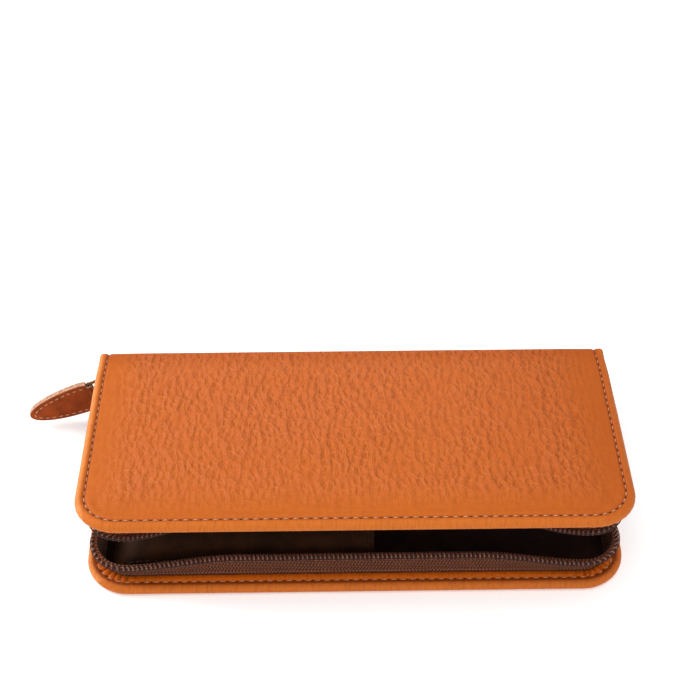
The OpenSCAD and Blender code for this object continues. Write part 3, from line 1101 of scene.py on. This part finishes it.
PIVOT = Vector(joint("bail_swing")["pos_m"]) / MM
FAR_BAR = Vector(joint("tab_swing")["pos_m"]) / MM
BAR_WAY = Vector(joint("tab_swing")["axis"])
TAB_WAY = (FAR_BAR - PIVOT).normalized()
TAB_FACE = TAB_WAY.cross(BAR_WAY).normalized()
BAIL_L = (FAR_BAR - PIVOT).length
TAB_L, TAB_HALF, ROOT_HALF = 29.4, 7.25, 6.7
TAB_ROOT, TAB_WIDEST = BAIL_L + 0.88, 7.5
TAB_T = 1.1
KNUCKLE_R, KNUCKLE_BORE, KNUCKLE_HALF = 1.4, 0.68, 5.2


def on_tab(r, across, out):
    """A point of the pull: r from the slider's bridge, across the tab, out of its plane."""
    return PIVOT + TAB_WAY * r + BAR_WAY * across + TAB_FACE * out


def tab_half(r):
    """Half the tab's width at r: a quarter sine at the root, then half an ellipse."""
    if r < TAB_WIDEST:
        turn = (r - TAB_ROOT) / (TAB_WIDEST - TAB_ROOT)
        return mix(ROOT_HALF, TAB_HALF, math.sin(math.pi / 2 * turn))
    return TAB_HALF * math.sqrt(max(0.0, 1 - ((r - TAB_WIDEST) / (TAB_L - TAB_WIDEST)) ** 2))


def tab_edge(inset, steps=40):
    """The tab's outline moved in by inset, from its root round the tip to its root."""

    def at(i):
        i = clamp(i, -steps, steps)
        r = TAB_ROOT + (TAB_L - TAB_ROOT) * (1 - abs(i / steps) ** 2)
        return Vector((r, math.copysign(tab_half(r), i) if i else 0.0))

    found = []
    for i in range(-steps, steps + 1):
        along = (at(i + 1) - at(i - 1)).normalized()
        found.append(at(i) + inset * Vector((-along.y, along.x)))
    return found


def make_tab_layer(name, side):
    """One leather layer with soft cut edges, and its half of the loop round the bar."""
    verts, faces = [], []
    levels = [(0.0, 0.02), (0.0, 0.55), (0.05, 0.85), (0.18, 1.02), (0.4, TAB_T)]
    loops = []
    for inset, out in levels:
        loop = tab_edge(inset)
        loops.append(range(len(verts), len(verts) + len(loop)))
        verts += [on_tab(p.x, p.y, side * out) for p in loop]
    count = len(loops[0])
    for a, b in zip(loops, loops[1:]):
        for i in range(count):
            n = (i + 1) % count
            faces.append((a[i], a[n], b[n], b[i]))
    for loop in (loops[0], loops[-1]):
        for i in range(count // 2):
            j = count - 1 - i
            if i + 1 < j:
                quad = (loop[i], loop[i + 1], loop[j - 1], loop[j])
                faces.append(quad if i + 1 != j - 1 else quad[:3])
    steps = 14
    for radius in (KNUCKLE_BORE, KNUCKLE_R):
        for i in range(steps + 1):
            a = math.pi * i / steps
            for across in (-KNUCKLE_HALF, KNUCKLE_HALF):
                verts.append(
                    on_tab(
                        BAIL_L + radius * math.cos(a),
                        across,
                        side * max(0.02, radius * math.sin(a)),
                    )
                )
    first = len(verts) - 4 * (steps + 1)
    inner, outer = first, first + 2 * (steps + 1)
    for i in range(steps):
        j = 2 * i
        faces.append((inner + j, inner + j + 1, inner + j + 3, inner + j + 2))
        faces.append((outer + j, outer + j + 1, outer + j + 3, outer + j + 2))
        for k in (0, 1):
            faces.append((inner + j + k, inner + j + 2 + k, outer + j + 2 + k, outer + j + k))
    for j in (0, 2 * steps):
        faces.append((inner + j, inner + j + 1, outer + j + 1, outer + j))
    return face_outwards(piece(name, verts, faces, PULL_LEATHER, flat=True))


def make_pull_stitches():
    """Stitches round both faces of the tab."""
    path = tab_edge(1.75)
    lengths = [0.0]
    for a, b in zip(path, path[1:]):
        lengths.append(lengths[-1] + (b - a).length)

    def at(distance):
        i = max(k for k in range(len(lengths) - 1) if lengths[k] <= distance)
        t = clamp((distance - lengths[i]) / (lengths[i + 1] - lengths[i]))
        return path[i].lerp(path[i + 1], t)

    tubes = Tubes()
    count = round((lengths[-1] - 1.0) / 2.5)
    pitch = (lengths[-1] - 1.0) / count
    for side in (-1, 1):
        for i in range(count):
            a, b = at(0.5 + i * pitch + 0.45), at(0.5 + (i + 1) * pitch - 0.45)
            ends = [on_tab(p.x, p.y, side * (TAB_T + 0.02)) for p in (a, b)]
            add_stitch(tubes, *ends, TAB_FACE * side, 0.23)
    return tubes.make("pull_stitches", THREAD)


# ---------------------------------------------------------------- build it all

make_camera()
make_studio()

bottom_skin = make_skin("bottom_skin", BOTTOM, 0.0)
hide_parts("bottom_leather", "lower_fold", "spine_leather")
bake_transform(bottom_skin)

top_skin = make_skin("top_skin", TOP, 1.0)
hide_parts("top_leather", "upper_fold")
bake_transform(top_skin)

bottom_lining, flat = make_lining("bottom_lining_suede", BOTTOM)
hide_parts("bottom_lining")
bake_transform(bottom_lining)

top_lining, flat = make_lining("top_lining_suede", TOP)
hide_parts("top_lining", "spine_lining")
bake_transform(top_lining)

for name, half, body, node in (
    ("bottom_stitches", BOTTOM, "lower_half", "bottom_thread"),
    ("top_stitches", TOP, "upper_half", "top_thread"),
):
    # The second piece holds the dark marks of painted shade at the needle holes.
    stitches, hole_shades = make_cover_stitches(name, half)
    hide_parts(node)
    for part in (stitches, hole_shades):
        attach(part, body)

lower_tape, flat = make_tape("lower_zip_tape", BOTTOM, False)
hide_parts("lower_tape")
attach(lower_tape, "lower_half")

upper_tape, flat = make_tape("upper_zip_tape", TOP_CLOSED, True)
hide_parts("upper_tape")
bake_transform(upper_tape)

# Distances along the zip: where the coils part at the slider's front end, where the stops
# end them, and the stretch behind the slider where they are joined.
mouth = FOLD_Y - SLIDER_LOW.y - TAPE_END_C
coil_end = TAPE_L - 5.2
joined = (0.3, 8.2)
chain, chain_thread = make_chain(
    "lower_coil", BOTTOM, False, [joined, (mouth - 0.4, coil_end)], 0.0
)
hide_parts("lower_chain")
for part in (chain, chain_thread):
    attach(part, "lower_half")

tail, tail_thread = make_chain("upper_coil_tail", TOP_CLOSED, False, [joined], COIL_PITCH / 2)
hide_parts("upper_chain_tail")
for part in (tail, tail_thread):
    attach(part, "lower_half")

chain, chain_thread = make_chain(
    "upper_coil", TOP_CLOSED, True, [(mouth + 0.3, coil_end)], COIL_PITCH / 2
)
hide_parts("upper_chain")
for part in (chain, chain_thread):
    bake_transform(part)

pocket, flat = make_pocket()
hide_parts("pen_pocket")
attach(pocket, "lower_half")

pocket_stitches = make_pocket_stitches()
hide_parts("pocket_thread")
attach(pocket_stitches, "lower_half")

for name, side, node in (("tab_front", -1, "pull_front"), ("tab_back", 1, "pull_back")):
    layer = make_tab_layer(name, side)
    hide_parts(node)
    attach(layer, "pull")
pull_stitches = make_pull_stitches()
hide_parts("pull_thread")
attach(pull_stitches, "pull")

CAD_LOOKS = {
    "slider_body": BRASS,
    "pull_bail": BRASS,
    "zip_bottom_stop": BRASS,
    "lower_end_stop": BRASS,
    "upper_end_stop": BRASS,
    "bottom_board": CARD,
    "top_board": CARD,
}
for node, material in CAD_LOOKS.items():
    obj = frame["nodes"][node]
    obj.data.materials.clear()
    obj.data.materials.append(material)
